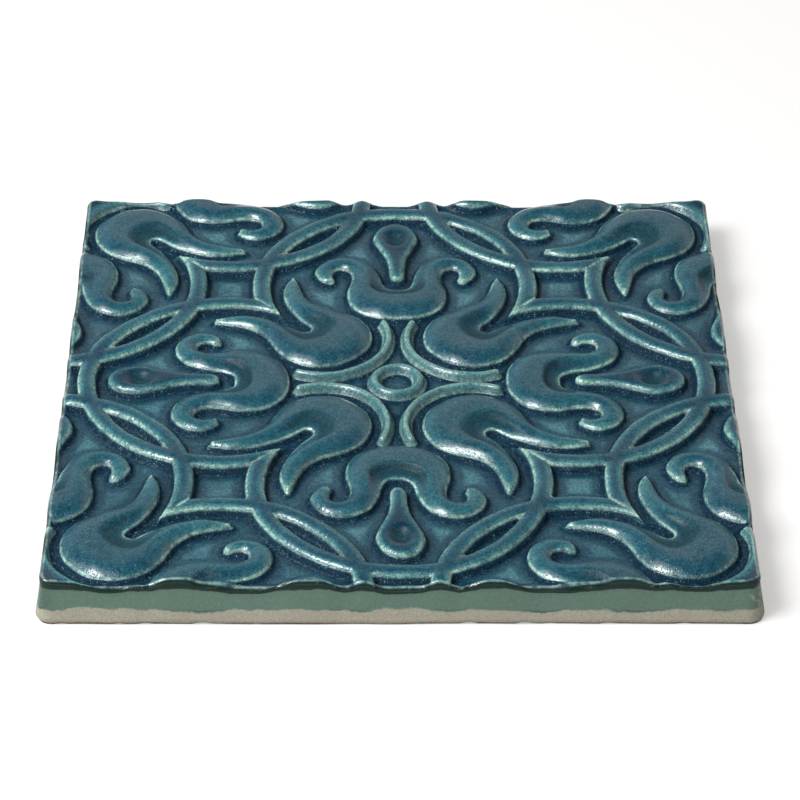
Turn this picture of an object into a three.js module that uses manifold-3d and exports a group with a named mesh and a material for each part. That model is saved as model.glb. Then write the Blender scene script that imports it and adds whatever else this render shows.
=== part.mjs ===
// Ceramic accent tile: one pressed and glazed clay body with a raised ornament on its face.
// Millimetres, +Z up. The origin is the middle of the underside, and +Y points to the far edge.

import * as THREE from 'three';
import { mergeVertices } from 'three/addons/utils/BufferGeometryUtils.js';
import Module from 'manifold-3d';

const wasm = await Module();
wasm.setup();

// Body of the tile
const faceSide = 152; // width and length of the face at the top of the relief
const fieldHeight = 8.3; // underside to the sunken field between the motifs
const sideDraft = 0.65; // how far each side leans out from the face to the underside
const cornerRadius = 1.6; // upright corners
const bottomArris = 0.8; // worn bevel around the underside

// Repeat of the ornament: one repeat is the tile and the joint that it is laid with
const jointWidth = 5.2;
const patternPitch = (faceSide + jointWidth) / 2; // middle ring to the next row's axis
const drawnPitch = 78.6; // pitch at which the plan sizes below were drawn

// Heights of the motifs above the field
const strapHeight = 2.5;
const cradleHeight = 2.2;
const ringHeight = 2.1;
const leafHeight = 3.3;
const fleurHeight = 3.2;
const dropHeight = 2.5;
const rootDepth = 1.2; // each motif is carried down into the body by this much
const wallSpread = 0.45; // foot of each motif's wall beyond its upper edge
const wallShare = 0.56; // upper edge of a rounded motif's wall, as a share of its crown's height
const shoulderShare = 0.9; // its shoulders, likewise
const shoulderInset = 0.2; // shoulder in from the edge, as a share of the motif's width

// Interlaced straps, in plan
const strapRadius = 31.6;
const strapWidth = 4.0;

// Middle ring and the four arcs that cradle the leaves, in plan
const ringOuterRadius = 6.5;
const ringInnerRadius = 3.6;
const cradleOffset = 16.7; // centre of a cradle arc from both axes
const cradleInnerRadius = 13.4;
const cradleWidth = 2.5;
const cradleHalfAngle = 71; // degrees each side of the diagonal

// Half of a leaf, from the tip of its horn to the diagonal: outer edge, then inner edge
const leafBack = [
  [23.6, 41.6], [22.4, 37.0], [20.8, 33.2], [17.6, 30.0], [12.6, 27.6], [8.8, 24.8],
  [6.5, 20.8], [5.8, 16.6], [6.8, 12.4], [9.2, 9.2],
];
const leafFront = [
  [24.9, 41.3], [26.2, 38.0], [26.2, 34.6], [25.4, 31.4], [24.0, 28.1], [22.2, 25.0],
  [20.3, 22.8], [19.0, 21.2], [18.8, 20.0], [19.1, 19.1],
];

// Half of a fleur, from its axis to the tip of its curl: edge inside the curl, then outside it
const fleurInside = [
  [0, 24.8], [4.6, 25.4], [9.1, 28.1], [11.3, 31.9], [11.7, 36.5], [10.9, 40.3],
  [10.7, 43.3], [11.8, 45.6], [13.7, 46.2], [15.1, 45.2], [15.4, 43.4], [14.8, 41.8],
];
const fleurOutside = [
  [0, 37.2], [2.3, 37.6], [3.6, 39.8], [4.5, 43.8], [6.4, 48.0], [9.4, 50.4],
  [12.9, 51.2], [16.3, 50.2], [18.5, 47.7], [19.3, 44.8], [18.2, 42.0], [16.2, 40.5],
];

// Drop on each axis: half width at each distance from the middle ring
const dropOutline = [
  [0.9, 41.0], [1.7, 42.6], [1.8, 46.0], [2.4, 50.4], [3.9, 54.6], [5.2, 58.4],
  [4.9, 61.4], [3.4, 64.4], [1.2, 65.8],
];

// Facets: how finely the curved outlines are divided
const strapSegments = 32;
const ringSegments = 16;
const cradleSegments = 8;
const leafSteps = 7;
const fleurSteps = 10;
const dropSteps = 7;
const cornerSegments = 2;

const drawingScale = patternPitch / drawnPitch;
const rootHeight = fieldHeight - rootDepth;
const reliefHeight = Math.max(strapHeight, cradleHeight, ringHeight, leafHeight, fleurHeight, dropHeight);
const faceHeight = fieldHeight + reliefHeight;
const envelopeHeight = faceHeight + rootDepth; // the envelope clears the highest crown
const quarterTurns = [0, 1, 2, 3];

// Sizes in plan follow the pitch of the ornament
function inPlan(size) {
  return size * drawingScale;
}

// A closed geometry becomes a solid once its shared vertices are merged
function solidFrom(geometry) {
  const bare = geometry.clone();
  bare.deleteAttribute('normal');
  bare.deleteAttribute('uv');
  const merged = mergeVertices(bare, 1e-4);
  return new wasm.Manifold(new wasm.Mesh({
    numProp: 3,
    vertProperties: new Float32Array(merged.attributes.position.array),
    triVerts: new Uint32Array(merged.index.array),
  }));
}

function joined(solids) {
  return solids.reduce((sum, solid) => sum.add(solid));
}

function geometryFrom(solid) {
  const mesh = solid.getMesh();
  const geometry = new THREE.BufferGeometry();
  geometry.setAttribute('position', new THREE.BufferAttribute(mesh.vertProperties, 3));
  geometry.setIndex(new THREE.BufferAttribute(mesh.triVerts, 1));
  geometry.computeVertexNormals();
  return geometry;
}

function geometryFromLists(positions, triangles) {
  const geometry = new THREE.BufferGeometry();
  geometry.setAttribute('position', new THREE.Float32BufferAttribute(positions.flat(), 3));
  geometry.setIndex(triangles.flat());
  return geometry;
}

// Points along a smooth curve through an outline's drawn points
function smoothOutline(points, steps) {
  const curve = new THREE.SplineCurve(points.map(([x, y]) => new THREE.Vector2(inPlan(x), inPlan(y))));
  return curve.getPoints(steps);
}

// Square outline with rounded corners, anticlockwise seen from above
function roundedSquare(side, radius) {
  const middle = side / 2 - radius;
  const outline = [];
  for (const turn of quarterTurns) {
    const corner = new THREE.Vector2(middle, middle).rotateAround(new THREE.Vector2(), turn * Math.PI / 2);
    for (let step = 0; step <= cornerSegments; step += 1) {
      const angle = (turn + step / cornerSegments) * Math.PI / 2;
      outline.push(new THREE.Vector2(corner.x + radius * Math.cos(angle), corner.y + radius * Math.sin(angle)));
    }
  }
  return outline;
}

// Solid through outlines of equal length stacked at rising heights
function stackedSolid(levels) {
  const count = levels[0].outline.length;
  const positions = levels.flatMap(({ outline, z }) => outline.map((point) => [point.x, point.y, z]));
  const triangles = [];
  for (let level = 0; level < levels.length - 1; level += 1) {
    for (let side = 0; side < count; side += 1) {
      const next = (side + 1) % count;
      const a = level * count + side;
      const b = level * count + next;
      triangles.push([a, b, b + count], [a, b + count, a + count]);
    }
  }
  const top = (levels.length - 1) * count;
  for (const [a, b, c] of THREE.ShapeUtils.triangulateShape(levels[0].outline, [])) {
    triangles.push([c, b, a]);
  }
  for (const [a, b, c] of THREE.ShapeUtils.triangulateShape(levels.at(-1).outline, [])) {
    triangles.push([top + a, top + b, top + c]);
  }
  return solidFrom(geometryFromLists(positions, triangles));
}

// Tile body up to a height: the sides lean in by the draft, and the underside has a worn bevel
function draftedBlock(height) {
  const lean = (z) => 2 * sideDraft * (1 - z / faceHeight);
  return stackedSolid([
    { outline: roundedSquare(faceSide + lean(0) - 2 * bottomArris, cornerRadius), z: 0 },
    { outline: roundedSquare(faceSide + lean(bottomArris), cornerRadius), z: bottomArris },
    { outline: roundedSquare(faceSide + lean(height), cornerRadius), z: height },
  ]);
}

// Rounded strip between two edges with a low wall, two shoulders and a crown; its foot spreads out
// a little and lies inside the body. The left edge is on the left as the strip is walked.
function roundedStrip(left, right, crown) {
  const wall = fieldHeight + crown * wallShare;
  const shoulder = fieldHeight + crown * shoulderShare;
  const top = fieldHeight + crown;
  const across = left.map((leftPoint, index) => {
    const rightPoint = right[index];
    const outward = leftPoint.clone().sub(rightPoint).setLength(wallSpread);
    const leftFoot = leftPoint.clone().add(outward);
    const rightFoot = rightPoint.clone().sub(outward);
    const leftShoulder = leftPoint.clone().lerp(rightPoint, shoulderInset);
    const rightShoulder = rightPoint.clone().lerp(leftPoint, shoulderInset);
    const middle = leftPoint.clone().lerp(rightPoint, 1 / 2);
    return [
      [leftFoot.x, leftFoot.y, rootHeight],
      [leftPoint.x, leftPoint.y, wall],
      [leftShoulder.x, leftShoulder.y, shoulder],
      [middle.x, middle.y, top],
      [rightShoulder.x, rightShoulder.y, shoulder],
      [rightPoint.x, rightPoint.y, wall],
      [rightFoot.x, rightFoot.y, rootHeight],
    ];
  });
  const ring = across[0].length;
  const triangles = [];
  for (let station = 0; station < across.length - 1; station += 1) {
    for (let side = 0; side < ring; side += 1) {
      const next = (side + 1) % ring;
      const a = station * ring + side;
      const b = station * ring + next;
      triangles.push([a, b, b + ring], [a, b + ring, a + ring]);
    }
  }
  const last = (across.length - 1) * ring;
  for (let side = 1; side < ring - 1; side += 1) {
    triangles.push([0, side + 1, side], [last, last + side, last + side + 1]);
  }
  return geometryFromLists(across.flat(), triangles);
}

function mirrored(points, mirror) {
  return points.map((point) => mirror(point));
}

// Leaf on the diagonal: a bulb with two horns that bend away from the middle ring
function leafGeometry() {
  const acrossDiagonal = (point) => new THREE.Vector2(point.y, point.x);
  const back = smoothOutline(leafBack, leafSteps);
  const front = smoothOutline(leafFront, leafSteps);
  const wholeBack = [...back, ...mirrored(back.slice(0, -1), acrossDiagonal).reverse()];
  const wholeFront = [...front, ...mirrored(front.slice(0, -1), acrossDiagonal).reverse()];
  return roundedStrip(wholeFront, wholeBack, leafHeight);
}

// Fleur on the axis: a cup with two curls that turn outwards
function fleurGeometry() {
  const acrossAxis = (point) => new THREE.Vector2(-point.x, point.y);
  const inside = smoothOutline(fleurInside, fleurSteps);
  const outside = smoothOutline(fleurOutside, fleurSteps);
  const wholeInside = [...mirrored(inside.slice(1), acrossAxis).reverse(), ...inside];
  const wholeOutside = [...mirrored(outside.slice(1), acrossAxis).reverse(), ...outside];
  return roundedStrip(wholeOutside, wholeInside, fleurHeight);
}

// Drop on the axis, pointing at the fleur
function dropGeometry() {
  const right = smoothOutline(dropOutline, dropSteps);
  const left = mirrored(right, (point) => new THREE.Vector2(-point.x, point.y));
  return roundedStrip(left, right, dropHeight);
}

// Full turn of a band with sloping walls and a flat top
function bandRing(innerRadius, outerRadius, height, segments) {
  const top = fieldHeight + height;
  const profile = [
    new THREE.Vector2(innerRadius, top),
    new THREE.Vector2(innerRadius - wallSpread, rootHeight),
    new THREE.Vector2(outerRadius + wallSpread, rootHeight),
    new THREE.Vector2(outerRadius, top),
    new THREE.Vector2(innerRadius, top),
  ];
  return new THREE.LatheGeometry(profile, segments).rotateX(Math.PI / 2);
}

// Strap round the point halfway to the next axis. It stops at both diagonals, where it meets its
// neighbours in a point, so the side towards the ring is left out.
function strapSolid() {
  const radius = inPlan(strapRadius);
  const halfWidth = inPlan(strapWidth) / 2;
  const ring = bandRing(radius - halfWidth, radius + halfWidth, strapHeight, strapSegments);
  const wholeRing = solidFrom(ring.translate(0, patternPitch / 2, 0));
  const near = patternPitch / 4;
  const far = patternPitch + radius;
  const sector = new THREE.Shape([
    new THREE.Vector2(-near, near),
    new THREE.Vector2(near, near),
    new THREE.Vector2(far, far),
    new THREE.Vector2(-far, far),
  ]);
  const wedge = new THREE.ExtrudeGeometry(sector, { depth: envelopeHeight, bevelEnabled: false });
  return wholeRing.intersect(solidFrom(wedge));
}

// Arc that cradles the bulb of a leaf, on the side of the middle ring
function cradleGeometry() {
  const inner = inPlan(cradleInnerRadius);
  const outer = inner + inPlan(cradleWidth);
  const middle = inPlan(cradleOffset);
  const towardsRing = 5 * Math.PI / 4;
  const halfAngle = THREE.MathUtils.degToRad(cradleHalfAngle);
  const arc = (radius) => {
    const points = [];
    for (let step = 0; step <= cradleSegments; step += 1) {
      const angle = towardsRing + halfAngle * (2 * step / cradleSegments - 1);
      points.push(new THREE.Vector2(middle + radius * Math.cos(angle), middle + radius * Math.sin(angle)));
    }
    return points;
  };
  return roundedStrip(arc(inner), arc(outer), cradleHeight);
}

// One quarter of the ornament round a ring, before it is turned to its place
function quarterGeometries() {
  return [leafGeometry(), fleurGeometry(), dropGeometry(), cradleGeometry(), geometryFrom(strapSolid())];
}

// All that is raised round one ring centre and touches the tile
function ornamentRound(centre) {
  const reach = faceSide / 2;
  const ring = bandRing(inPlan(ringInnerRadius), inPlan(ringOuterRadius), ringHeight, ringSegments);
  const pieces = [ring];
  for (const turn of quarterTurns) {
    for (const geometry of quarterGeometries()) {
      pieces.push(geometry.rotateZ(turn * Math.PI / 2));
    }
  }
  return pieces
    .map((geometry) => geometry.translate(centre.x, centre.y, 0))
    .filter((geometry) => {
      geometry.computeBoundingBox();
      const { min, max } = geometry.boundingBox;
      return min.x < reach && max.x > -reach && min.y < reach && max.y > -reach;
    })
    .map((geometry) => solidFrom(geometry));
}

function tileSolid() {
  const centres = [new THREE.Vector2(0, 0)];
  for (const turn of quarterTurns) {
    centres.push(new THREE.Vector2(patternPitch, patternPitch).rotateAround(centres[0], turn * Math.PI / 2));
  }
  const ornament = joined(centres.flatMap((centre) => ornamentRound(centre)));
  return draftedBlock(fieldHeight).add(ornament.intersect(draftedBlock(envelopeHeight)));
}

const glaze = new THREE.MeshStandardMaterial({ color: 0x2a5568, roughness: 0.18, metalness: 0 });

const tile = new THREE.Mesh(geometryFrom(tileSolid()), glaze);
tile.name = 'relief_tile';

const accentTile = new THREE.Group();
accentTile.name = 'accent_tile';
accentTile.add(tile);

export default accentTile;
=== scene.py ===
# Glazed relief tile, lying face up on a pale studio floor
import math

import bpy
import numpy as np
from mathutils import Matrix, Vector


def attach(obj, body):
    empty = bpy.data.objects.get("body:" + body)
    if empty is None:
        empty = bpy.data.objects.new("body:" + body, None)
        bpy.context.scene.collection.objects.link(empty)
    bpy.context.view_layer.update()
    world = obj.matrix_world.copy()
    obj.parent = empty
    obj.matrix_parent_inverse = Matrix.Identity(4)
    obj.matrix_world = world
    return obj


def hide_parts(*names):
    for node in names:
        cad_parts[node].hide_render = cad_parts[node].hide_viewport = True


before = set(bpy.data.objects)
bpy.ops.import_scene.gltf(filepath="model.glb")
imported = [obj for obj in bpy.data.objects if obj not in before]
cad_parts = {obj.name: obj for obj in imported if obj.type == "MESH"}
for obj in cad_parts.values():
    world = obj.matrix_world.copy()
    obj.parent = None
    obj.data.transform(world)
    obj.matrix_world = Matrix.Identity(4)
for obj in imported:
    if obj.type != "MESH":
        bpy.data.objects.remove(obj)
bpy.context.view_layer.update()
millimetre = 0.001  # shapes are worked out in millimetres and made in metres
print("frame loaded")

# Sizes of the tile and its ornament in millimetres, and half the arcs' angle in degrees
tileForm = {
    "faceSide": 152.0,
    "fieldHeight": 8.3,  # underside to the field between the motifs
    "sideDraft": 1.1,  # how far the foot stands out past the rim
    "cornerRadius": 2.5,
    "footRound": 0.9,  # worn edge around the underside
    "jointWidth": 5.2,  # the ornament runs on over the joints between tiles
    "strapHeight": 2.5,
    "cradleHeight": 2.2,
    "ringHeight": 2.1,
    "leafHeight": 3.25,
    "fleurHeight": 3.15,
    "dropHeight": 2.6,
    "strapRadius": 31.6,
    "strapWidth": 4.0,
    "ringOuterRadius": 6.5,
    "ringInnerRadius": 3.6,
    "cradleOffset": 16.7,
    "cradleInnerRadius": 13.4,
    "cradleWidth": 2.5,
    "cradleHalfAngle": 68.5,
}

# How the pressed clay and the glaze round the ornament off
tileFinish = {
    "faceCells": 178,  # cells along each side of the face, before the triangles by the walls are split
    "sideRows": 10,
    "shoulder": 1.25,  # height of the wall round a leaf or fleur, below its swelling crown
    "crestRound": 1.45,  # how far in from its edge a strap's top starts to fall
    "crestDrop": 0.75,
    "strapTrough": 0.12,  # hollow along a strap's middle
    "leafDish": (0.6, 2.6, 5.8),  # rise of the dish's floor, then where its slope starts and ends
    "fleurDish": (0.3, 2.4, 4.6),
    "creaseInset": 3.5,  # dark line on a fleur's slope, in from its edge
    "creaseWidth": 0.9,
    "dropRound": 1.5,
    "dropFall": 0.95,
    "eyePlace": 58.6,  # middle of a drop's eye, from the ring
    "eyeStretch": 1.15,
    "eyeRadius": 3.3,
    "eyeDepth": 1.3,
    "bellSpread": 0.55,  # how far the foot of a round band reaches beyond its nominal width
    "bellEdge": 0.12,
    "wallRun": 0.45,  # upper edge of a motif to the foot of its wall, in plan
    "footFillet": 0.9,
    "filletShare": 0.16,  # the fillet's share of the wall's height
    "cornerReach": 24.0,  # the tile's corners are filled in this near to the next ring, off the tile
    "cornerRise": 1.2,  # how much the fill rises towards the corner
    "rimRound": 0.8,  # how far in from the side the face starts to roll over
    "rimDrop": 0.8,
    "rimLift": 0.6,  # how much higher the low parts of the face lie at the rim
    "rimDent": 1.2,  # dents in the back rim, where it cuts the corner arcs
    "dentPlace": 58.0,
    "dentWidth": 5.0,
    "rimLevelling": 0.85,  # how far the rim's height nears its mean along the side
    "cornerFlare": 0.2,  # how much more the foot stands out at the right corners, and less at the left ones
    "frontFlare": 0.6,  # how much more the front side leans out
    "sideInset": 0.3,
    "sideDent": 0.1,
    "leftShift": 0.6,  # how far the left side is out of square, each way from its middle
    "rightShift": 0.5,
    "frontShift": 0.6,
    "handShift": 0.35,  # how far the hand-pressed motifs stray
    "handLength": 46.0,  # and over what length
    "fieldWave": 0.12,
    "fieldLength": 17.0,
    "skinWave": 0.06,
    "skinLength": 9.0,
}

# How much thicker the glaze lies on the motifs' tops, away from their edges, and on the filled corners
glazeSunk = {
    "strap": 0.38,
    "drop": 0.62,
    "leaf": 0.22,
    "corner": 0.6,
}

# Half of a leaf, from the tip of its horn to the diagonal: outer edge, then inner edge
leafBack = [
    (24.4, 42.7), (23.5, 41.2), (22.4, 37.0), (20.8, 33.2), (17.6, 30.0), (12.6, 27.6), (8.8, 24.8),
    (6.5, 20.8), (5.9, 16.6), (6.9, 12.4), (9.3, 9.3),
]
leafFront = [
    (24.4, 42.7), (25.3, 41.2), (26.2, 38.0), (26.2, 34.6), (25.4, 31.4), (24.0, 28.1), (22.2, 25.0),
    (20.7, 23.2), (19.6, 21.8), (19.4, 20.7), (19.8, 19.8),
]

# Half of a fleur, from its axis to the tip of its curl: edge inside the curl, then outside it
fleurInside = [
    (0, 24.8), (4.6, 25.4), (9.1, 28.1), (11.3, 31.9), (11.7, 36.5), (10.9, 40.3),
    (10.7, 43.3), (11.8, 45.6), (13.7, 46.2), (15.1, 45.2), (15.4, 43.4), (14.9, 41.9), (15.3, 40.8),
]
fleurOutside = [
    (0, 37.2), (2.3, 37.6), (3.6, 39.8), (4.5, 43.8), (6.4, 48.0), (9.4, 50.4),
    (12.9, 51.2), (16.3, 50.2), (18.5, 47.7), (19.3, 44.8), (18.2, 42.0), (16.7, 40.7), (15.3, 40.8),
]

# Drop on each axis: half width at each distance from the middle ring
dropOutline = [
    (0.9, 41.0), (1.7, 42.6), (1.8, 46.0), (2.4, 50.4), (3.9, 54.6), (5.2, 58.4),
    (4.9, 61.4), (3.4, 64.4), (1.2, 65.8),
]

pitch = (tileForm["faceSide"] + tileForm["jointWidth"]) / 2  # middle ring to the next row's axis


# Smooth step from 0 at low to 1 at high by 3t^2 - 2t^3, falling if low is the larger
def smoothStep(value, low, high):
    t = np.clip((value - low) / (high - low), 0.0, 1.0)
    return t * t * (3.0 - 2.0 * t)


# Slow waves of about the given length, mostly between -1 and 1: a third of the sum of six sines in
# seeded directions
def handWaves(x, y, length, seed):
    dice = np.random.default_rng(seed)
    angles = dice.uniform(0, 2 * math.pi, 6)
    phases = dice.uniform(0, 2 * math.pi, 6)
    lengths = length * dice.uniform(0.7, 1.5, 6)
    total = np.zeros_like(x)
    for angle, phase, waveLength in zip(angles, phases, lengths):
        along = x * math.cos(angle) + y * math.sin(angle)
        total += np.sin(along * 2 * math.pi / waveLength + phase)
    return total / 3.0


# Catmull-Rom curve through the points: on each span, the cubic whose slopes are half the chords between
# the neighbours
def smoothOutline(points, steps):
    p = np.array(points, dtype=float)
    p = np.vstack([p[:1], p, p[-1:]])
    t = np.linspace(0, len(points) - 1, steps)
    span = np.minimum(t.astype(int), len(points) - 2)
    t = (t - span)[:, None]
    a, b, c, d = p[span], p[span + 1], p[span + 2], p[span + 3]
    firstSlope = (c - a) / 2
    lastSlope = (d - b) / 2
    cubic = (2 * b - 2 * c + firstSlope + lastSlope) * t**3
    return cubic + (3 * c - 3 * b - 2 * firstSlope - lastSlope) * t**2 + firstSlope * t + b


# Distance from each point to a polyline: the least of the distances to its segments' nearest points
def distanceToLine(x, y, line):
    nearest = np.full(x.shape, 1e6)
    for (ax, ay), (bx, by) in zip(line[:-1], line[1:]):
        dx, dy = bx - ax, by - ay
        t = np.clip(((x - ax) * dx + (y - ay) * dy) / (dx * dx + dy * dy + 1e-12), 0.0, 1.0)
        nearest = np.minimum(nearest, np.hypot(x - ax - t * dx, y - ay - t * dy))
    return nearest


# Inside test: a ray towards +x crosses an odd number of the loop's edges
def isInside(x, y, loop):
    inside = np.zeros(x.shape, dtype=bool)
    for (ax, ay), (bx, by) in zip(loop, np.roll(loop, -1, axis=0)):
        if ay == by:
            continue
        spans = (ay > y) != (by > y)
        inside ^= spans & (x < ax + (y - ay) * (bx - ax) / (by - ay))
    return inside


# A strip between two edges: distance to its outline, negative inside, and the distances to both edges
def stripField(x, y, back, front):
    toBack = distanceToLine(x, y, back)
    toFront = distanceToLine(x, y, front)
    ends = np.minimum(
        distanceToLine(x, y, np.array([back[0], front[0]])),
        distanceToLine(x, y, np.array([back[-1], front[-1]])),
    )
    outline = np.minimum(np.minimum(toBack, toFront), ends)
    inside = isInside(x, y, np.vstack([back, front[::-1]]))
    return np.where(inside, -outline, outline), toBack, toFront


# Height share of a wall, 1 at its upper edge: most of it falls straight to the wall's foot, and the fillet's
# share as (1 - t)^2 to the fillet's end
def wallFall(distance):
    run = tileFinish["wallRun"]
    share = tileFinish["filletShare"]
    straight = np.clip(1.0 - distance / run, 0.0, 1.0)
    fillet = np.clip(1.0 - distance / (run + tileFinish["footFillet"]), 0.0, 1.0) ** 2
    return np.minimum((1.0 - share) * straight + share * fillet, 1.0)


# How far a crest has fallen at a depth inside its edge: drop times (1 - depth / span)^2
def crestFall(distance, span, drop):
    return drop * np.clip(1.0 + np.minimum(distance, 0.0) / span, 0.0, 1.0) ** 2


# Height of a band: its top, its round crest and its wall
def bandHeight(distance, height, span, drop):
    return (height - crestFall(distance, span, drop)) * wallFall(distance)


# A round band without a sharp edge: its height times 3t^2 - 2t^3 from its foot to near its middle line
def bellHeight(fromMiddle, height, halfWidth):
    return height * smoothStep(fromMiddle, halfWidth + tileFinish["bellSpread"], 0.2 * halfWidth)


# Pillow of a leaf or fleur. From a low shoulder along its back edge it swells by 1 - (1 - t)^2.3 to its
# crest, and from there it falls by 3t^2 - 2t^3 into a dish along its front edge. The lower of the two
# counts, rounded off by -k ln(e^(-a / k) + e^(-b / k)). Narrow parts are lower and have no dish. The masks
# show the dish and the crest. The back edge is a leaf's outer one, and a fleur's one inside the curl.
def pillow(signed, toBack, toFront, height, dishRise, dishStart, dishEnd):
    away = np.clip(signed, 0.0, None)
    toBack = np.clip(toBack - away, 0.0, None)
    toFront = np.clip(toFront - away, 0.0, None)
    width = toBack + toFront
    half = 0.5 * width + 0.01
    broad = smoothStep(width, 4.5, 9.5)
    top = height * (0.6 + 0.4 * smoothStep(width, 1.5, 8.0))
    shoulder = tileFinish["shoulder"] * (0.5 + 0.5 * smoothStep(width, 0.2, 2.6))
    backShare = np.clip(toBack / np.minimum(5.0, half), 0.0, 1.0)
    back = shoulder + (top - shoulder) * (1.0 - (1.0 - backShare) ** 2.3)
    stretched = toFront * np.maximum(dishEnd / half, 1.0)
    narrowRise = 1.0 - (1.0 - np.clip(toFront / half, 0.0, 1.0)) ** 2
    rise = narrowRise + broad * (smoothStep(stretched, dishStart, dishEnd) - narrowRise)
    lip = 0.25 * (1.0 - smoothStep(toFront, 0.0, 1.2))
    level = shoulder + broad * (dishRise + 0.06 * toFront - lip)
    front = level + (top - level) * rise
    k = 0.2
    dish = smoothStep(stretched, dishEnd - 0.1, dishEnd - 1.0) * smoothStep(toFront, 0.5, 1.5)
    dish *= smoothStep(width, 5.5, 9.5) * (signed < 0)
    crest = smoothStep(stretched, dishEnd - 0.8, dishEnd + 0.2) * smoothStep(toBack, 1.8, 4.0)
    crest *= smoothStep(width, 5.0, 9.0) * (signed < 0)
    return -k * np.logaddexp(-back / k, -front / k) * wallFall(signed), dish, crest


# Heights and masks of the whole face. The ornament is folded into one eighth round its nearest ring:
# u is the distance from the nearer axis and v the distance along it.
def faceRelief(x, y):
    shift = tileFinish["handShift"]
    px = x + shift * handWaves(x, y, tileFinish["handLength"], 3)
    py = y + shift * handWaves(x, y, tileFinish["handLength"], 4)
    outer = np.abs(px) + np.abs(py) > pitch
    a = np.abs(px - np.where(outer, np.sign(px) * pitch, 0.0))
    b = np.abs(py - np.where(outer, np.sign(py) * pitch, 0.0))
    u, v = np.minimum(a, b), np.maximum(a, b)

    edges = []
    heights = []

    # Straps: bands on circles, each kept on its own side of the diagonal and beyond a quarter pitch
    halfWidth = tileForm["strapWidth"] / 2
    beyond = pitch / 4 - v
    diagonal = (v - u) / math.sqrt(2)
    bands = []
    for cx, cy, mirrored in ((0, 0.5, False), (0.5, 0, True), (0.5, 1, False), (1, 0.5, True)):
        radius = np.hypot(u - cx * pitch, v - cy * pitch)
        band = np.abs(radius - tileForm["strapRadius"]) - halfWidth
        band = np.maximum(band, diagonal if mirrored else -diagonal)
        bands.append(np.maximum(band, beyond))
    strap = np.minimum.reduce(bands)
    edges.append(strap)
    trough = tileFinish["strapTrough"] * smoothStep(-strap, 0.8, halfWidth)
    crestRound, crestDrop = tileFinish["crestRound"], tileFinish["crestDrop"]
    heights.append(bandHeight(strap, tileForm["strapHeight"], crestRound, crestDrop) - trough)

    # Middle ring: a band round the centre
    ringMiddle = (tileForm["ringOuterRadius"] + tileForm["ringInnerRadius"]) / 2
    ringHalf = (tileForm["ringOuterRadius"] - tileForm["ringInnerRadius"]) / 2
    fromMiddle = np.abs(np.hypot(u, v) - ringMiddle)
    ring = fromMiddle - ringHalf - tileFinish["bellEdge"]
    edges.append(ring)
    heights.append(bellHeight(fromMiddle, tileForm["ringHeight"], ringHalf))

    # Cradle arc: a band on a circle round the leaf's bulb, with round ends. At the tile's own corners all
    # that lies beyond it is filled in to the arc's height and rises on towards the corner.
    offset = tileForm["cradleOffset"]
    cradleHalf = tileForm["cradleWidth"] / 2
    cradleRadius = tileForm["cradleInnerRadius"] + cradleHalf
    turn = np.arctan2(v - offset, u - offset) - math.radians(225)
    turn = (turn + math.pi) % (2 * math.pi) - math.pi
    limit = math.radians(tileForm["cradleHalfAngle"])
    held = np.clip(turn, -limit, limit) + math.radians(225)
    fromMiddle = np.hypot(
        u - offset - cradleRadius * np.cos(held),
        v - offset - cradleRadius * np.sin(held),
    )
    beyondArc = cradleRadius - np.hypot(u - offset, v - offset)
    reach = tileFinish["cornerReach"]
    filled = (np.minimum(np.abs(px), np.abs(py)) > pitch - reach) & (u + v < reach) & (beyondArc < 0)
    fromMiddle = np.where(filled, 0.0, fromMiddle)
    cradle = fromMiddle - cradleHalf - tileFinish["bellEdge"]
    edges.append(np.where(filled, -3.0, cradle))
    cornerFill = smoothStep(-beyondArc, 0.6, 2.5) * filled
    cornerRise = tileFinish["cornerRise"] * smoothStep(-beyondArc, 1.0, 7.0) * filled
    heights.append(bellHeight(fromMiddle, tileForm["cradleHeight"], cradleHalf) + cornerRise)

    # Leaf on the diagonal
    back = smoothOutline(leafBack, 70)
    front = smoothOutline(leafFront, 60)
    back = np.vstack([back, back[-2::-1, ::-1]])
    front = np.vstack([front, front[-2::-1, ::-1]])
    leaf, toBack, toFront = stripField(u, v, back, front)
    edges.append(leaf)
    leafTop, leafDish, leafCrest = pillow(
        leaf, toBack, toFront, tileForm["leafHeight"], *tileFinish["leafDish"])
    heights.append(leafTop)

    # Fleur on the axis, with its mirror image
    inner = smoothOutline(fleurInside, 80)
    outline = smoothOutline(fleurOutside, 90)
    inner = np.vstack([inner[:0:-1] * (-1, 1), inner])
    outline = np.vstack([outline[:0:-1] * (-1, 1), outline])
    fleur, toInner, toOutline = stripField(u, v, inner, outline)
    edges.append(fleur)
    fleurTop, fleurDish, fleurCrest = pillow(
        fleur, toInner, toOutline, tileForm["fleurHeight"], *tileFinish["fleurDish"])
    heights.append(fleurTop)
    crease = np.exp(-((toOutline - tileFinish["creaseInset"]) / tileFinish["creaseWidth"]) ** 2)
    crease *= smoothStep(toInner + toOutline, 7.0, 10.0) * (fleur < 0)

    # Drop on the axis, with a sunken eye
    side = smoothOutline(dropOutline, 60)
    loop = np.vstack([side, side[::-1] * (-1, 1)])
    drop = distanceToLine(u, v, np.vstack([loop, loop[:1]]))
    drop = np.where(isInside(u, v, loop), -drop, drop)
    edges.append(drop)
    fromEye = np.hypot(u, (v - tileFinish["eyePlace"]) / tileFinish["eyeStretch"])
    eye = 1.0 - smoothStep(fromEye, 0.7, tileFinish["eyeRadius"])
    eyeMask = 1.0 - smoothStep(fromEye, 1.5, tileFinish["eyeRadius"])
    dropTop = bandHeight(drop, tileForm["dropHeight"], tileFinish["dropRound"], tileFinish["dropFall"])
    heights.append(dropTop - tileFinish["eyeDepth"] * eye - 0.15 * smoothStep(-drop, 0.5, 1.7))

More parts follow.
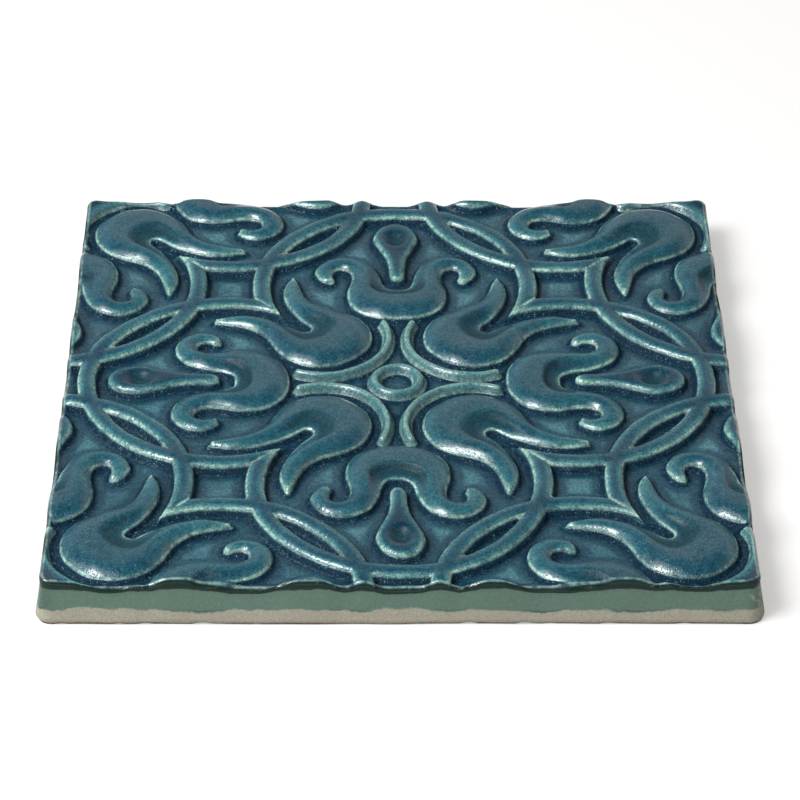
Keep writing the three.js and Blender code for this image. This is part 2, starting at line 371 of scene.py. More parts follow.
    edge = np.minimum.reduce(edges)
    relief = np.maximum.reduce(heights)
    masks = {
        "edge": edge,
        "dish": np.maximum.reduce([leafDish, fleurDish, eyeMask]),
        "crest": np.maximum(leafCrest, fleurCrest),
        "rounded": smoothStep(-np.minimum(ring, cradle), -0.5, 0.4) * ~filled,
        "crease": crease,
        "sunk": np.maximum.reduce([
            glazeSunk["strap"] * smoothStep(-strap, 0.4, 1.5),
            glazeSunk["drop"] * smoothStep(-drop, 0.4, 1.5),
            glazeSunk["leaf"] * smoothStep(-np.minimum(leaf, fleur), 0.4, 1.6),
            glazeSunk["corner"] * cornerFill,
        ]),
    }

    # Field between the motifs, with slow waves
    field = tileForm["fieldHeight"] + tileFinish["fieldWave"] * handWaves(x, y, tileFinish["fieldLength"], 5)
    skin = tileFinish["skinWave"] * handWaves(x, y, tileFinish["skinLength"], 6)
    return field + relief + skin, masks


# How far the hand-cut outline lies off a true square. To the right: one shift all along the right side, and
# one along the left side that runs from its negative in front to its positive behind. To the back: nothing
# on the back side, growing straight to the front side.
def outlineShift(x, y):
    across = x / (tileForm["faceSide"] / 2)
    along = y / (tileForm["faceSide"] / 2)
    toRight = 0.5 * tileFinish["rightShift"] * (1 + across)
    toRight += 0.5 * tileFinish["leftShift"] * along * (1 - across)
    return toRight, 0.5 * tileFinish["frontShift"] * (1 - along)


# Height of the face with its rolled rim. Two dents e^(-(t / width)^2) go into the back rim. Close to the
# sides the height nears its mean along the side over 4 mm, its low parts come up, and it falls by the rim's
# drop times (1 - inward / round)^1.6. The inward distance is that to a square with round corners.
def faceHeight(x, y):
    z, masks = faceRelief(x, y)
    toRight, toBack = outlineShift(x, y)
    straight = tileForm["faceSide"] / 2 - tileForm["cornerRadius"]
    beyondX = np.abs(x - toRight) - straight
    beyondY = np.abs(y - toBack) - straight
    inward = tileForm["cornerRadius"] - np.minimum(np.maximum(beyondX, beyondY), 0.0)
    inward -= np.hypot(np.maximum(beyondX, 0.0), np.maximum(beyondY, 0.0))
    dent = np.exp(-(((np.abs(x) - tileFinish["dentPlace"]) / tileFinish["dentWidth"]) ** 2))
    dent *= smoothStep(y, 72.5, 75.5)
    z -= tileFinish["rimDent"] * (1.0 + 0.3 * np.sign(x)) * dent
    near = inward < 3.0
    alongX = np.abs(y[near]) > np.abs(x[near])
    steps = np.linspace(-2.0, 2.0, 9)
    mean = sum(faceRelief(x[near] + step * alongX, y[near] + step * ~alongX)[0] for step in steps)
    mean /= len(steps)
    z[near] += smoothStep(inward[near], 2.2, 0.0) * tileFinish["rimLevelling"] * (mean - z[near])
    low = 1.0 - smoothStep(z - tileForm["fieldHeight"], 0.3, 2.0)
    z += tileFinish["rimLift"] * low * smoothStep(inward, 3.0, 0.6)
    roll = np.clip(1.0 - inward / tileFinish["rimRound"], 0.0, 1.0)
    masks["belowRim"] = -inward
    return z - tileFinish["rimDrop"] * roll**1.6, masks


# How thin the glaze lies, from about -1 in the crevices to about 1 on the crests: the height above its own
# mean, taken with a narrow and a broad Gaussian on a square grid, and read off at each point between the
# four nearest places of the grid
def glazeThinness(x, y):
    cell = 0.4
    reach = tileForm["faceSide"] / 2 + 6.0
    line = np.arange(-reach, reach, cell)
    height = faceRelief(*np.meshgrid(line, line))[0]
    thinness = np.zeros_like(x)
    for spread, share in ((0.6, 1.0), (1.9, 0.5)):
        offsets = np.arange(-int(3 * spread / cell), int(3 * spread / cell) + 1) * cell
        weights = np.exp(-0.5 * (offsets / spread) ** 2)
        weights /= weights.sum()
        mean = height
        for _ in range(2):
            padded = np.pad(mean, ((0, 0), (len(weights) // 2,) * 2), mode="edge")
            mean = sum(w * padded[:, k:k + len(line)] for k, w in enumerate(weights)).T
        above = height - mean
        column, row = (x + reach) / cell, (y + reach) / cell
        c, r = column.astype(int), row.astype(int)
        s, t = column - c, row - r
        lower = above[r, c] * (1 - s) + above[r, c + 1] * s
        upper = above[r + 1, c] * (1 - s) + above[r + 1, c + 1] * s
        thinness += share * (lower * (1 - t) + upper * t)
    return np.clip(thinness, -1.2, 1.2)


# Square rings become rings with round corners: a corner's offset keeps its largest part as its length
def roundCorners(x, y, radius):
    reach = np.maximum(np.abs(x), np.abs(y))
    soft = radius * smoothStep(reach, tileForm["faceSide"] / 2 - 5.0, tileForm["faceSide"] / 2)
    cx = np.abs(x) - (reach - soft)
    cy = np.abs(y) - (reach - soft)
    corner = (cx > 0) & (cy > 0) & (soft > 0)
    scale = np.where(corner, np.maximum(cx, cy) / np.maximum(np.hypot(cx, cy), 1e-9), 1.0)
    newX = np.where(corner, np.sign(x) * (reach - soft + cx * scale), x)
    newY = np.where(corner, np.sign(y) * (reach - soft + cy * scale), y)
    return newX, newY


# The triangles' edges, each pair of vertices once, then which of them each triangle has, and how often
# each is used
def edgesOf(triangles):
    sides = np.vstack([triangles[:, [0, 1]], triangles[:, [1, 2]], triangles[:, [2, 0]]])
    sides = np.sort(sides, axis=1)
    pairs, which, uses = np.unique(sides, axis=0, return_inverse=True, return_counts=True)
    return pairs, which.reshape(3, -1).T, uses


# Triangles on a wall, a round band or a crease are split in four at the middles of their edges. Beside
# them, a triangle with one or two split edges is cut in two or three.
def refine(plan, triangles):
    masks = faceRelief(*plan[triangles].mean(axis=1).T)[1]
    steep = (masks["edge"] > -0.75) & (masks["edge"] < 0.85)
    steep |= (masks["rounded"] > 0.2) | (masks["crease"] > 0.3)
    pairs, which, _ = edgesOf(triangles)
    split = np.zeros(len(pairs), dtype=bool)
    split[which[steep]] = True
    newIndex = np.full(len(pairs), -1)
    newIndex[split] = len(plan) + np.arange(split.sum())
    middles = newIndex[which]
    cuts = (middles >= 0).sum(axis=1)
    result = [triangles[cuts == 0]]

    # One split edge: turned so that it comes first, the triangle is halved
    one = cuts == 1
    turn = (middles[one] >= 0).argmax(axis=1)
    order = (turn[:, None] + np.arange(3)) % 3
    p, q, r = np.take_along_axis(triangles[one], order, 1).T
    m = middles[one].max(axis=1)
    result += [np.column_stack([p, m, r]), np.column_stack([m, q, r])]

    # Two split edges: turned so that the whole edge comes first, a corner is cut from the rest
    two = cuts == 2
    turn = (middles[two] < 0).argmax(axis=1)
    order = (turn[:, None] + np.arange(3)) % 3
    p, q, r = np.take_along_axis(triangles[two], order, 1).T
    _, m, n = np.take_along_axis(middles[two], order, 1).T
    result += [np.column_stack([p, q, m]), np.column_stack([p, m, n]), np.column_stack([n, m, r])]

    # Three split edges: three corners and a middle
    p, q, r = triangles[cuts == 3].T
    m, n, o = middles[cuts == 3].T
    result += [np.column_stack([p, m, o]), np.column_stack([m, q, n])]
    result += [np.column_stack([o, n, r]), np.column_stack([m, n, o])]
    return np.vstack([plan, plan[pairs[split]].mean(axis=1)]), np.vstack(result)


# Twice the signed area of each triangle in plan
def planArea(plan, triangles):
    a, b, c = (plan[triangles[:, k]] for k in range(3))
    return (b - a)[:, 0] * (c - a)[:, 1] - (b - a)[:, 1] * (c - a)[:, 0]


# Of each mesh edge that crosses a contour of the edge distance, the nearer end moves onto it along the
# slope of the distance. Vertices of a triangle that would shrink to nothing stay where they were.
def snapToContour(plan, triangles, level, held):
    pairs = edgesOf(triangles)[0]
    offset = faceRelief(*plan.T)[1]["edge"] - level
    a, b = pairs[offset[pairs[:, 0]] * offset[pairs[:, 1]] < 0].T
    moving = np.unique(np.where(np.abs(offset[a]) < np.abs(offset[b]), a, b))
    moving = moving[~held[moving]]
    x, y = plan[moving].T
    step = 0.05
    for _ in range(2):
        distance = faceRelief(x, y)[1]["edge"]
        slopeX = (faceRelief(x + step, y)[1]["edge"] - distance) / step
        slopeY = (faceRelief(x, y + step)[1]["edge"] - distance) / step
        move = (level - distance) / np.maximum(slopeX**2 + slopeY**2, 0.5)
        x = x + move * slopeX
        y = y + move * slopeY
    moved = plan.copy()
    moved[moving] = np.column_stack([x, y])
    for _ in range(3):
        crushed = triangles[planArea(moved, triangles) < 0.012].ravel()
        moved[crushed] = plan[crushed]
    held[moving] = True
    return moved


# The face as a square grid with round corners, finer by its walls, with edges along their tops and feet
def makeFace():
    half = tileForm["faceSide"] / 2
    roll = tileFinish["rimRound"]
    inner = np.linspace(roll - half, half - roll, tileFinish["faceCells"] - 5)
    outer = half - roll * np.array([0.66, 0.33, 0.0])
    line = np.concatenate([-outer[::-1], inner, outer])
    count = len(line)
    x, y = roundCorners(*np.meshgrid(line, line), tileForm["cornerRadius"])
    toRight, toBack = outlineShift(x, y)
    plan = np.column_stack([(x + toRight).ravel(), (y + toBack).ravel()])
    index = np.arange(count * count).reshape(count, count)
    low, right, high, left = (part.ravel() for part in (
        index[:-1, :-1], index[:-1, 1:], index[1:, 1:], index[1:, :-1]))
    rising = ((x * y).ravel() > 0)[low, None]  # diagonals run out to the corners
    triangles = np.vstack([
        np.where(rising, np.column_stack([low, right, high]), np.column_stack([low, right, left])),
        np.where(rising, np.column_stack([low, high, left]), np.column_stack([right, high, left])),
    ])
    plan, triangles = refine(plan, triangles)
    pairs, _, uses = edgesOf(triangles)
    held = np.zeros(len(plan), dtype=bool)
    held[pairs[uses == 1]] = True
    for level in (0.0, tileFinish["wallRun"]):
        plan = snapToContour(plan, triangles, level, held)
    z, masks = faceHeight(*plan.T)
    masks["thin"] = glazeThinness(*plan.T) - masks.pop("sunk")
    return np.column_stack([plan, z]), triangles, masks


# Triangles between rows of vertices that close on themselves, each row below the one before
def bandTriangles(rows):
    upper, lower = rows[:-1], rows[1:]
    upperNext, lowerNext = np.roll(upper, -1, axis=1), np.roll(lower, -1, axis=1)
    return np.vstack([
        np.column_stack([upper.ravel(), lower.ravel(), lowerNext.ravel()]),
        np.column_stack([upper.ravel(), lowerNext.ravel(), upperNext.ravel()]),
    ])


# The rim's vertices, anticlockwise seen from above: the ends of all edges that one triangle alone has,
# sorted by their direction from the middle
def rimOf(points, triangles):
    pairs, _, uses = edgesOf(triangles)
    rim = np.unique(pairs[uses == 1])
    return rim[np.argsort(np.arctan2(points[rim, 1], points[rim, 0]))]


# The tile as one closed mesh: the face, rows of a drafted wall with a worn foot, and a flat underside
def makeTile():
    face, faceTriangles, masks = makeFace()
    rim = rimOf(face, faceTriangles)
    rimPoints = face[rim]
    x, y, top = rimPoints.T
    after = np.roll(rimPoints, -1, axis=0) - np.roll(rimPoints, 1, axis=0)
    outward = np.column_stack([after[:, 1], -after[:, 0]])
    outward /= np.linalg.norm(outward, axis=1)[:, None]

    # The thick glaze ends at a line that follows half of the rim's ups and downs
    rollLine = 0.5 * top + 0.5 * top.mean()

    # Rows of the wall, from below the rim to the floor. The worn foot is a quarter circle.
    rows = tileFinish["sideRows"]
    atCorner = np.clip(np.abs(x * y) / (tileForm["faceSide"] / 2) ** 2, 0.0, 1.0) ** 20
    chip = np.clip(handWaves(x, y, 6.0, 12), 0.0, 1.0)
    worn = tileForm["footRound"] * (0.6 + 0.6 * chip) * (1.0 - 0.5 * atCorner)
    footReach = tileForm["sideDraft"] + tileFinish["cornerFlare"] * atCorner * np.sign(x)
    footReach += tileFinish["frontFlare"] * (y < -70.0)
    rings = []
    for part in np.linspace(0, 1, rows + 1)[1:]:
        level = top * (1 - part) * (1 - 0.25 * part)
        lean = footReach * (1 - level / top)
        dent = tileFinish["sideDent"] * handWaves(x + level, y + 0.5 * level, 14.0, 9)
        tuck = worn - np.sqrt(np.maximum(worn**2 - np.clip(worn - level, 0.0, None) ** 2, 0.0))
        out = lean + dent - tileFinish["sideInset"] - tuck
        rings.append(np.column_stack([rimPoints[:, :2] + outward * out[:, None], level]))
    sides = np.vstack(rings)
    under = np.vstack([rings[-1] * (part, part, 1.0) for part in (0.985, 0.8, 0.4)])

    around = len(rim)
    start = len(face)
    pole = start + len(sides) + len(under)
    ringIndex = np.vstack([rim, start + np.arange(around * (rows + 3)).reshape(rows + 3, around)])
    fan = np.column_stack([ringIndex[-1], np.full(around, pole), np.roll(ringIndex[-1], -1)])
    points = np.vstack([face, sides, under, [[0.0, 0.0, 0.0]]])
    triangles = np.vstack([faceTriangles, bandTriangles(ringIndex), fan])
    extra = len(points) - start
    everywhere = {name: np.concatenate([values, np.zeros(extra)]) for name, values in masks.items()}
    everywhere["edge"][start:] = 3.0
    everywhere["belowRim"][start:] = 20.0
    everywhere["belowRim"][start:pole - len(under)] = np.tile(top, rows) - sides[:, 2]
    everywhere["belowRim"][rim] = 0.0
    everywhere["cornerEdge"] = np.zeros(len(points))
    everywhere["cornerEdge"][start:pole - len(under)] = np.tile(atCorner * np.sign(x * y), rows)
    everywhere["belowRoll"] = np.zeros(len(points))
    everywhere["belowRoll"][start:pole - len(under)] = np.tile(rollLine, rows) - sides[:, 2]
    return points, triangles, everywhere


# A mesh object from points in millimetres, with one number per vertex for each mask
def addMesh(name, points, triangles, masks):
    mesh = bpy.data.meshes.new(name)
    mesh.from_pydata((points * millimetre).tolist(), [], triangles.tolist())
    mesh.polygons.foreach_set("use_smooth", np.ones(len(mesh.polygons), dtype=bool))
    for maskName, values in masks.items():
        attribute = mesh.attributes.new(maskName, "FLOAT", "POINT")
        attribute.data.foreach_set("value", values.astype(np.float32))
    mesh.update()
    piece = bpy.data.objects.new(name, mesh)
    bpy.context.scene.collection.objects.link(piece)
    return piece


points, triangles, masks = makeTile()
glazedTile = addMesh("glazed_tile", points, triangles, masks)
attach(glazedTile, "root")
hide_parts("relief_tile")
print("tile mesh made:", len(triangles), "triangles")


# Scene colour from the hex code of a colour as a screen shows it
def screenColour(code):
    parts = [int(code[k:k + 2], 16) / 255 for k in (0, 2, 4)]
    linear = [p / 12.92 if p <= 0.04045 else ((p + 0.055) / 1.055) ** 2.4 for p in parts]
    return (*linear, 1.0)


# Short forms for building node trees
class Nodes:
    def __init__(self, tree):
        self.tree = tree

    def add(self, kind, **settings):
        node = self.tree.nodes.new(kind)
        for key, value in settings.items():
            setattr(node, key, value)
        return node

    def link(self, source, target):
        self.tree.links.new(source, target)

    def feed(self, socket, value):
        if isinstance(value, (int, float, tuple)):
            socket.default_value = value
        else:
            self.link(value, socket)

    def attribute(self, name):
        return self.add("ShaderNodeAttribute", attribute_name=name).outputs["Fac"]

    def math(self, operation, a, b=0.0):
        node = self.add("ShaderNodeMath", operation=operation)
        self.feed(node.inputs[0], a)
        self.feed(node.inputs[1], b)
        return node.outputs[0]

    def ramp(self, value, low, high, fromValue=0.0, toValue=1.0, kind="SMOOTHSTEP"):
        node = self.add("ShaderNodeMapRange", interpolation_type=kind)
        self.feed(node.inputs["Value"], value)
        node.inputs["From Min"].default_value = low
        node.inputs["From Max"].default_value = high
        node.inputs["To Min"].default_value = fromValue
        node.inputs["To Max"].default_value = toValue
        return node.outputs["Result"]

    # Stops are pairs of a place from -1 to 1 and a colour
    def colourRamp(self, value, stops):
        node = self.add("ShaderNodeValToRGB")
        stripes = node.color_ramp.elements
        while len(stripes) < len(stops):
            stripes.new(0.5)
        for stripe, (place, code) in zip(stripes, stops):
            stripe.position = 0.5 + 0.5 * place
            stripe.color = screenColour(code)
        self.link(value, node.inputs["Fac"])
        return node.outputs["Color"]

    def noise(self, where, scale, detail=2.0, roughness=0.5):
        node = self.add("ShaderNodeTexNoise")
        self.link(where, node.inputs["Vector"])
        node.inputs["Scale"].default_value = scale
        node.inputs["Detail"].default_value = detail
        node.inputs["Roughness"].default_value = roughness
        return node.outputs["Fac"]

    def mix(self, factor, first, second, blend="MIX"):
        node = self.add("ShaderNodeMix", data_type="RGBA", blend_type=blend)
        self.feed(node.inputs["Factor"], factor)
        self.feed(node.inputs[6], first)
        self.feed(node.inputs[7], second)
        return node.outputs[2]


# Colours of the glaze and the bare clay, as hex codes of what a screen shows, and their finish. Sizes are in
# metres, but levels on the side are in millimetres.
glazeLook = {
    "byThinness": (  # from the crevices to the crests
        (-1.0, "021e2d"),
        (-0.45, "072a3a"),
        (0.0, "173e4c"),
        (0.3, "22525c"),
        (0.65, "3d696c"),
        (1.0, "759890"),
    ),
    "milkySheen": "4f7d86",  # milky glaze pooled on the open field, partly a painted reflection of the bright surroundings in the hollow glaze
    "dish": "17353d",  # dishes of the leaves and fleurs, and eyes of the drops
    "crest": "284953",  # crowns of the leaves and fleurs
    "arc": "3e6569",  # tops of the ring and the arcs
    "groove": "022133",  # thick glaze at the foot of the walls
    "pit": "081826",
    "break": "93b3a4",  # where it breaks over an edge
    "paintedGlint": "8ea9ae",  # painted glints: pale specks in the grooves, standing in for tiny highlights on the pits
    "rim": "0a231f",  # thick glaze rolled over the sides
    "celadon": "51685c",  # thin glaze on the sides
    "clay": "908d7f",
    "stain": "57463a",  # dirt on the foot's worn edge
    "roughness": 0.12,
    "clayRoughness": 0.85,
    "specular": 0.5,
    "dullShare": 0.42,  # how much less the grooves and dishes reflect
    "dullRoughness": 0.3,
    "dustScale": 4600.0,  # waves of the noises in a metre
    "grainScale": 1500.0,
    "cloudScale": 600.0,
    "blotchScale": 75.0,
    "pitSize": 0.0005,
    "paintedGlintSize": 0.00034,
    "bumpHeight": 0.00018,
    "rollEnd": (0.9, 1.3),  # where the rolled glaze thins out, below its own line
    "bareEnd": (3.2, 3.9),  # where the bare clay starts, above the floor
}


# The whole finish: mottled teal glaze on the face, a celadon band on the sides and bare clay at the foot
def glazeMaterial():
    material = bpy.data.materials.new("teal_glaze")
    material.use_nodes = True
    tree = Nodes(material.node_tree)
    shader = material.node_tree.nodes["Principled BSDF"]
    colour = {key: screenColour(value) for key, value in glazeLook.items() if isinstance(value, str)}
    where = tree.add("ShaderNodeTexCoord").outputs["Object"]
    edge = tree.attribute("edge")  # distance outside the nearest motif's edge, in millimetres
    thin = tree.attribute("thin")
    dish = tree.attribute("dish")
    crest = tree.attribute("crest")
    rounded = tree.attribute("rounded")
    crease = tree.attribute("crease")
    belowRim = tree.attribute("belowRim")  # below the rim on the sides, minus the way inward on the face
    belowRoll = tree.attribute("belowRoll")
    cornerEdge = tree.attribute("cornerEdge")  # 1 or -1 on the upright corners, by their diagonal

    # Noises from fine to broad
    dust = tree.noise(where, glazeLook["dustScale"], 1.0, 0.6)
    grain = tree.noise(where, glazeLook["grainScale"], 2.0, 0.6)
    cloud = tree.noise(where, glazeLook["cloudScale"], 3.0, 0.6)
    blotch = tree.noise(where, glazeLook["blotchScale"], 2.0)
    slow = tree.math("SUBTRACT", blotch, 0.5)
    uneven = tree.math("MULTIPLY", tree.math("SUBTRACT", cloud, 0.5), 0.7)

    # Colour by how thin the glaze lies
    depth = tree.math("ADD", thin, tree.math("ADD", uneven, tree.math("MULTIPLY", slow, 0.6)))
    tone = tree.colourRamp(tree.ramp(depth, -1.0, 1.0, 0.0, 1.0, "LINEAR"), glazeLook["byThinness"])
    tone = tree.mix(tree.math("MULTIPLY", rounded, 0.5), tone, colour["arc"])
    onCrest = tree.math("MULTIPLY", crest, tree.ramp(cloud, 0.3, 0.65, 0.4, 0.8))
    tone = tree.mix(onCrest, tone, colour["crest"])
    inDish = tree.math("MULTIPLY", dish, tree.ramp(cloud, 0.35, 0.6, 0.6, 0.95))
    tone = tree.mix(inDish, tone, colour["dish"])

    # Milky pools on the open field, partly a painted reflection of the bright surroundings, and dark grooves
    # round the motifs
    # Painted reflection: the middles of the open field are lightened towards milky blue, part pooled glaze
    # and part a painted sheen of the bright surroundings
    poolSheen = tree.ramp(edge, 2.4, 3.9, 0.0, 0.42)
    poolSheen = tree.math("MULTIPLY", poolSheen, tree.ramp(blotch, 0.35, 0.6, 0.35, 1.0))
    tone = tree.mix(poolSheen, tone, colour["milkySheen"])
    onWall = tree.ramp(edge, 0.0, 0.2)
    groove = tree.math("MULTIPLY", onWall, tree.ramp(edge, 0.5, 1.8, 1.0, 0.0))
    groove = tree.math("MAXIMUM", groove, tree.math("MULTIPLY", crease, 0.5))
    inGroove = tree.math("MULTIPLY", groove, tree.ramp(cloud, 0.3, 0.6, 0.9, 0.5))
    tone = tree.mix(inGroove, tone, colour["groove"])

    # Where it breaks over an edge it is palest, in a fine uneven line
    rise = tree.ramp(edge, -0.6, -0.12)
    fall = tree.ramp(edge, -0.05, 0.15, 1.0, 0.0)
    broken = tree.ramp(cloud, 0.33, 0.6, 0.2, 0.85)
    broken = tree.math("MULTIPLY", broken, tree.ramp(blotch, 0.35, 0.65, 0.4, 1.0))
    onFace = tree.ramp(belowRim, -1.5, -1.1, 1.0, 0.0)
    paleLine = tree.math("MULTIPLY", rise, fall)
    paleLine = tree.math("MULTIPLY", paleLine, tree.math("MULTIPLY", broken, onFace))
    fainter = tree.math("SUBTRACT", 1.0, tree.math("MULTIPLY", rounded, 0.55))
    paleLine = tree.math("MULTIPLY", paleLine, fainter)
    tone = tree.mix(paleLine, tone, colour["break"])

    # Mottling, pits, and painted glints in the grooves
    mottle = tree.ramp(grain, 0.3, 0.7, 0.76, 1.24)
    mottle = tree.math("MULTIPLY", mottle, tree.ramp(dust, 0.3, 0.7, 0.5, 1.4))
    shade = tree.add("ShaderNodeCombineColor")
    for channel in ("Red", "Green", "Blue"):
        tree.link(mottle, shade.inputs[channel])
    tone = tree.mix(1.0, tone, shade.outputs["Color"], "MULTIPLY")
    cells = tree.add("ShaderNodeTexVoronoi")
    tree.link(where, cells.inputs["Vector"])
    cells.inputs["Scale"].default_value = 1.0 / glazeLook["pitSize"]
    pitShape = tree.ramp(cells.outputs["Distance"], 0.12, 0.38, 1.0, 0.0)
    patches = tree.ramp(cloud, 0.5, 0.62, 0.0, 0.6)
    patches = tree.math("MAXIMUM", patches, tree.ramp(edge, -1.4, -0.3, 0.0, 0.5))
    pits = tree.math("MULTIPLY", pitShape, tree.math("MAXIMUM", groove, patches))
    tone = tree.mix(tree.math("MULTIPLY", pits, 0.7), tone, colour["pit"])
    # Painted highlights: pale dots scattered in the grooves stand in for glints of light on the pitted glaze
    dots = tree.add("ShaderNodeTexVoronoi")
    tree.link(where, dots.inputs["Vector"])
    dots.inputs["Scale"].default_value = 1.0 / glazeLook["paintedGlintSize"]
    chance = tree.add("ShaderNodeSeparateColor")
    tree.link(dots.outputs["Color"], chance.inputs[0])
    chosen = tree.math("MULTIPLY", tree.ramp(chance.outputs["Red"], 0.6, 1.0), groove)
    chosen = tree.math("MULTIPLY", chosen, tree.ramp(cloud, 0.42, 0.62, 0.15, 1.0))
    paintedGlints = tree.math("MULTIPLY", chosen, tree.ramp(dots.outputs["Distance"], 0.15, 0.5, 0.75, 0.0))
    tone = tree.mix(paintedGlints, tone, colour["paintedGlint"])

    # Sides: a pale line along the rim, thick dark glaze rolled over it, a celadon band, then bare clay
    drip = tree.math("ADD", belowRoll, tree.math("ADD", slow, uneven))
    faint = tree.mix(0.75, shade.outputs["Color"], (1.0, 1.0, 1.0, 1.0))
    side = tree.mix(tree.ramp(drip, *glazeLook["rollEnd"]), colour["rim"], colour["celadon"])
    side = tree.mix(tree.ramp(cornerEdge, 0.3, 0.9, 0.0, 0.6), side, colour["rim"])
    side = tree.mix(1.0, side, faint, "MULTIPLY")
    tone = tree.mix(tree.ramp(belowRim, -0.55, -0.25), tone, side)
    rimLine = tree.ramp(belowRim, -1.1, -0.7)
    rimLine = tree.math("MULTIPLY", rimLine, tree.ramp(belowRim, -0.55, -0.25, 1.0, 0.0))
    rimLine = tree.math("MULTIPLY", rimLine, tree.ramp(cloud, 0.4, 0.6, 0.1, 0.38))
    tone = tree.mix(rimLine, tone, colour["break"])
    height = tree.add("ShaderNodeSeparateXYZ")
    tree.link(where, height.inputs[0])
    aboveFloor = tree.math("MULTIPLY", height.outputs["Z"], 1.0 / millimetre)
    ragged = tree.math("ADD", tree.math("MULTIPLY", slow, 5.0), tree.math("MULTIPLY", uneven, 1.6))
    level = tree.math("ADD", aboveFloor, ragged)

    # A dark lip here and there above the bare clay, which also shows up the front-right and back-left corners
    lip = tree.math("MULTIPLY", tree.ramp(level, 3.5, 3.7), tree.ramp(level, 3.8, 4.3, 1.0, 0.0))
    lip = tree.math("MULTIPLY", lip, tree.ramp(blotch, 0.45, 0.7, 0.0, 0.7))
    tone = tree.mix(lip, tone, colour["rim"])
    bare = tree.ramp(level, *glazeLook["bareEnd"], 1.0, 0.0)
    chipped = tree.ramp(tree.math("ADD", cornerEdge, uneven), -0.75, -0.6, 0.9, 0.0)
    bare = tree.math("MAXIMUM", bare, chipped)
    scuffed = tree.math("ADD", aboveFloor, tree.math("ADD", slow, uneven))
    clay = tree.mix(tree.ramp(scuffed, 0.2, 0.8), colour["stain"], colour["clay"])
    clay = tree.mix(1.0, clay, faint, "MULTIPLY")
    tone = tree.mix(bare, tone, clay)
    tree.link(tone, shader.inputs["Base Color"])

    # Gloss: less in the grooves and dishes and on the sides, none on bare clay
    gloss = tree.ramp(grain, 0.3, 0.7, glazeLook["roughness"] - 0.04, glazeLook["roughness"] + 0.06)
    dull = tree.math("MAXIMUM", groove, tree.math("MULTIPLY", dish, 0.9))
    dull = tree.math("MAXIMUM", dull, tree.ramp(belowRim, -0.2, 0.3, 0.0, 0.7))
    gloss = tree.math("ADD", gloss, tree.math("MULTIPLY", dull, glazeLook["dullRoughness"]))
    lost = tree.math("MULTIPLY", dull, glazeLook["dullShare"])
    specular = tree.math("SUBTRACT", glazeLook["specular"], lost)
    tree.link(specular, shader.inputs["Specular IOR Level"])
    rough = tree.add("ShaderNodeMix", data_type="FLOAT")
    tree.link(bare, rough.inputs["Factor"])
    tree.link(gloss, rough.inputs[2])
    rough.inputs[3].default_value = glazeLook["clayRoughness"]
    tree.link(rough.outputs[0], shader.inputs["Roughness"])

    # Surface: faint orange peel on the tops, dusty pitted grooves, and the open grain of the clay
    peel = tree.math("MULTIPLY", tree.math("ADD", cloud, tree.math("MULTIPLY", grain, 0.2)), 0.3)
    dusty = tree.math("MULTIPLY", dust, tree.math("ADD", groove, 0.08))
    openGrain = tree.math("MULTIPLY", tree.math("MULTIPLY", dust, bare), 0.8)
    surface = tree.math("ADD", tree.math("SUBTRACT", peel, tree.math("MULTIPLY", pits, 0.7)), openGrain)
    surface = tree.math("ADD", surface, dusty)
    bump = tree.add("ShaderNodeBump")
    bump.inputs["Strength"].default_value = 1.0
    bump.inputs["Distance"].default_value = glazeLook["bumpHeight"]
    tree.link(surface, bump.inputs["Height"])
    tree.link(bump.outputs["Normal"], shader.inputs["Normal"])
    return material


glazedTile.data.materials.append(glazeMaterial())
print("glaze made")

# Camera at the photograph's angle: its place is in millimetres from the middle of the underside
cameraForm = {
    "place": (-8.8, -660.9, 475.2),
    "forward": (0.01162, 0.81426, -0.58038),
    "roll": 0.46,
    "lens": 159.0,
    "sensor": 36.0,
}


# The camera looks along the forward direction, then turns by the roll
def addCamera():
    camera = bpy.data.cameras.new("camera")
    camera.lens = cameraForm["lens"]
    camera.sensor_width = cameraForm["sensor"]
    holder = bpy.data.objects.new("camera", camera)
    turn = Vector(cameraForm["forward"]).to_track_quat("-Z", "Y").to_matrix().to_4x4()
    roll = Matrix.Rotation(math.radians(cameraForm["roll"]), 4, "Z")
    holder.matrix_world = Matrix.Translation(Vector(cameraForm["place"]) * millimetre) @ turn @ roll
    bpy.context.scene.collection.objects.link(holder)
    bpy.context.scene.camera = holder


# Studio: a white backdrop behind that darkens overhead, a reflector at the right, and a softbox high at the
# left, a little in front
studio = {
    "floorReach": 6.0,
    "floorTone": (0.38, 0.377, 0.372, 1.0),
    "floorGlow": (0.45, 0.445, 0.44, 1.0),  # the table is lit from below as well
    "backdrop": 0.66,
    "horizon": 0.35,
    "frontWall": 0.25,
    "reflector": 0.5,
    "ceiling": 0.10,
    "softboxPlace": (-0.56, -0.28, 0.84),
    "coreSize": 0.44,
    "corePower": 15.0,
    "spreadSize": 1.0,
    "spreadPower": 9.0,
}


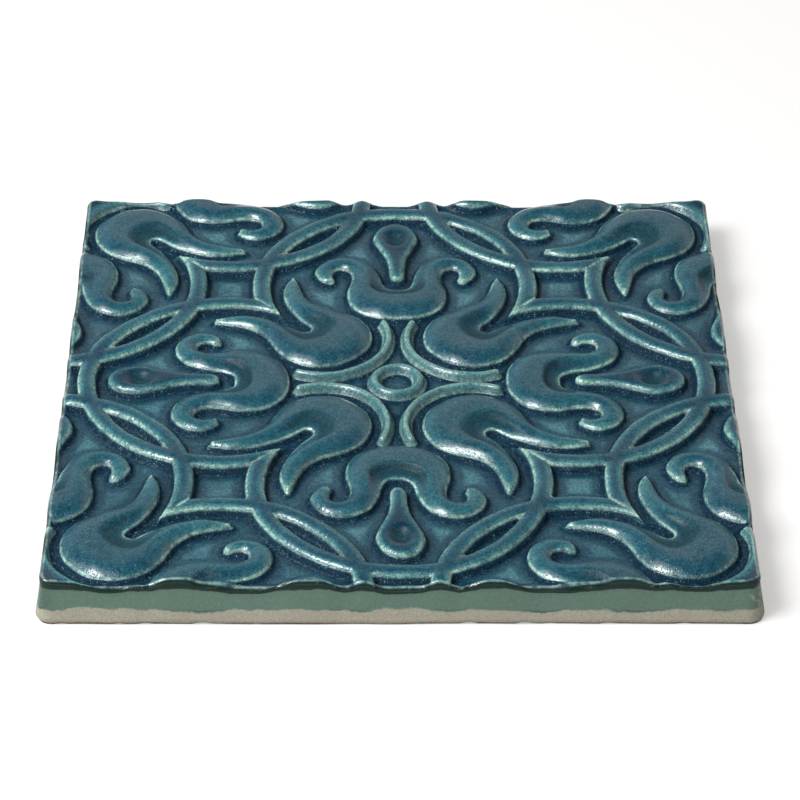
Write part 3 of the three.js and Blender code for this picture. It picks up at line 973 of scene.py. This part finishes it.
# A wide pale floor that isn't part of the object
def addFloor():
    mesh = bpy.data.meshes.new("floor")
    reach = studio["floorReach"]
    corners = [(-reach, -reach, 0), (reach, -reach, 0), (reach, reach, 0), (-reach, reach, 0)]
    mesh.from_pydata(corners, [], [(0, 1, 2, 3)])
    floor = bpy.data.objects.new("floor", mesh)
    material = bpy.data.materials.new("pale_floor")
    material.use_nodes = True
    shader = material.node_tree.nodes["Principled BSDF"]
    shader.inputs["Base Color"].default_value = studio["floorTone"]
    shader.inputs["Roughness"].default_value = 0.9
    shader.inputs["Specular IOR Level"].default_value = 0.1
    shader.inputs["Emission Color"].default_value = studio["floorGlow"]
    shader.inputs["Emission Strength"].default_value = 1.0
    mesh.materials.append(material)
    bpy.context.scene.collection.objects.link(floor)


# The softbox: a bright core in a dimmer spread, both aimed at the tile
def addSoftbox():
    place = Vector(studio["softboxPlace"])
    aim = Matrix.Translation(place) @ (-place).to_track_quat("-Z", "Y").to_matrix().to_4x4()
    for name in ("core", "spread"):
        light = bpy.data.lights.new("softbox_" + name, "AREA")
        light.shape = "SQUARE"
        light.size = studio[name + "Size"]
        light.energy = studio[name + "Power"]
        holder = bpy.data.objects.new("softbox_" + name, light)
        holder.matrix_world = aim
        bpy.context.scene.collection.objects.link(holder)


# Light from the world: brighter behind and at the right, dimmer near the horizon and fading out overhead
def addBackdrop():
    world = bpy.data.worlds.new("studio")
    bpy.context.scene.world = world
    world.use_nodes = True
    tree = Nodes(world.node_tree)
    direction = tree.add("ShaderNodeTexCoord").outputs["Generated"]
    parts = tree.add("ShaderNodeSeparateXYZ")
    tree.link(direction, parts.inputs[0])
    wall = tree.ramp(parts.outputs["Y"], -0.4, 0.4, studio["frontWall"], studio["backdrop"])
    wall = tree.math("ADD", wall, tree.ramp(parts.outputs["X"], 0.2, 0.9, 0.0, studio["reflector"]))
    low = tree.ramp(parts.outputs["Z"], 0.35, 0.85, 1.0, 0.0)
    low = tree.math("MULTIPLY", low, tree.ramp(parts.outputs["Z"], 0.15, 0.5, studio["horizon"], 1.0))
    strength = tree.math("ADD", tree.math("MULTIPLY", wall, low), studio["ceiling"])
    tree.link(strength, world.node_tree.nodes["Background"].inputs["Strength"])
    world.node_tree.nodes["Background"].inputs["Color"].default_value = (1.0, 1.0, 1.0, 1.0)


addCamera()
addFloor()
addSoftbox()
addBackdrop()
bpy.context.scene.view_settings.view_transform = "Standard"
print("camera, floor and lights made")
